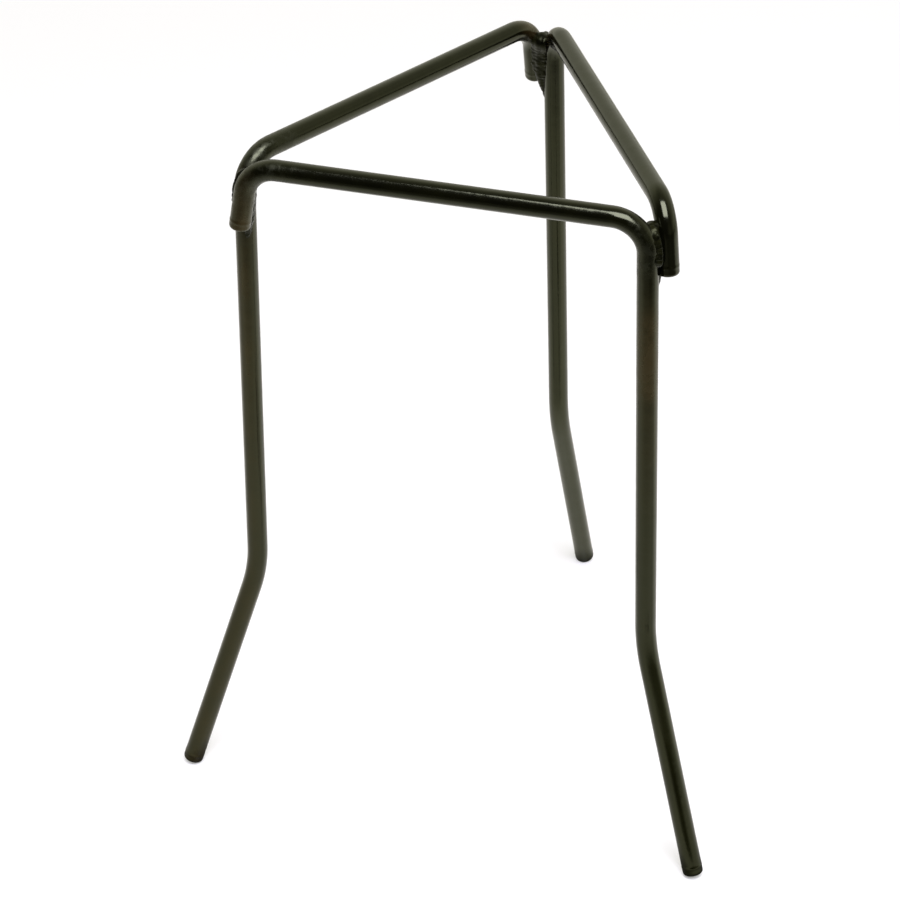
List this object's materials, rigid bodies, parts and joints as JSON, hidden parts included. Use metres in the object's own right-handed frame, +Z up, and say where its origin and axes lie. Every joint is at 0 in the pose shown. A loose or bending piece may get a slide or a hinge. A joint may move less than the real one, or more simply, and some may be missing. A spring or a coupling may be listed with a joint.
{
  "type": "lab tripod stand",
  "caption": "Bent-rod laboratory tripod stand: a triangular ring on upright legs with splayed feet, which holds a gauze and a flask over a burner.",
  "frame": {"origin": "on the stand's centre line, through the middle of the ring, at the level of the floor", "axes": "+Z up; +X to the right along the front bar of the ring; +Y from the front bar to the back corner"},
  "size_m": [0.1657, 0.1505, 0.2147],
  "materials": {
    "enamel": "thin semi-gloss olive-black enamel over steel rod",
    "weld_enamel": "the same enamel, duller and greyer over the rough weld"
  },
  "bodies": {
    "root": {"rod_front": "enamel", "rod_right": "enamel", "rod_left": "enamel", "weld_front_right": "weld_enamel", "weld_back": "weld_enamel", "weld_front_left": "weld_enamel"}
  },
  "joints": []
}
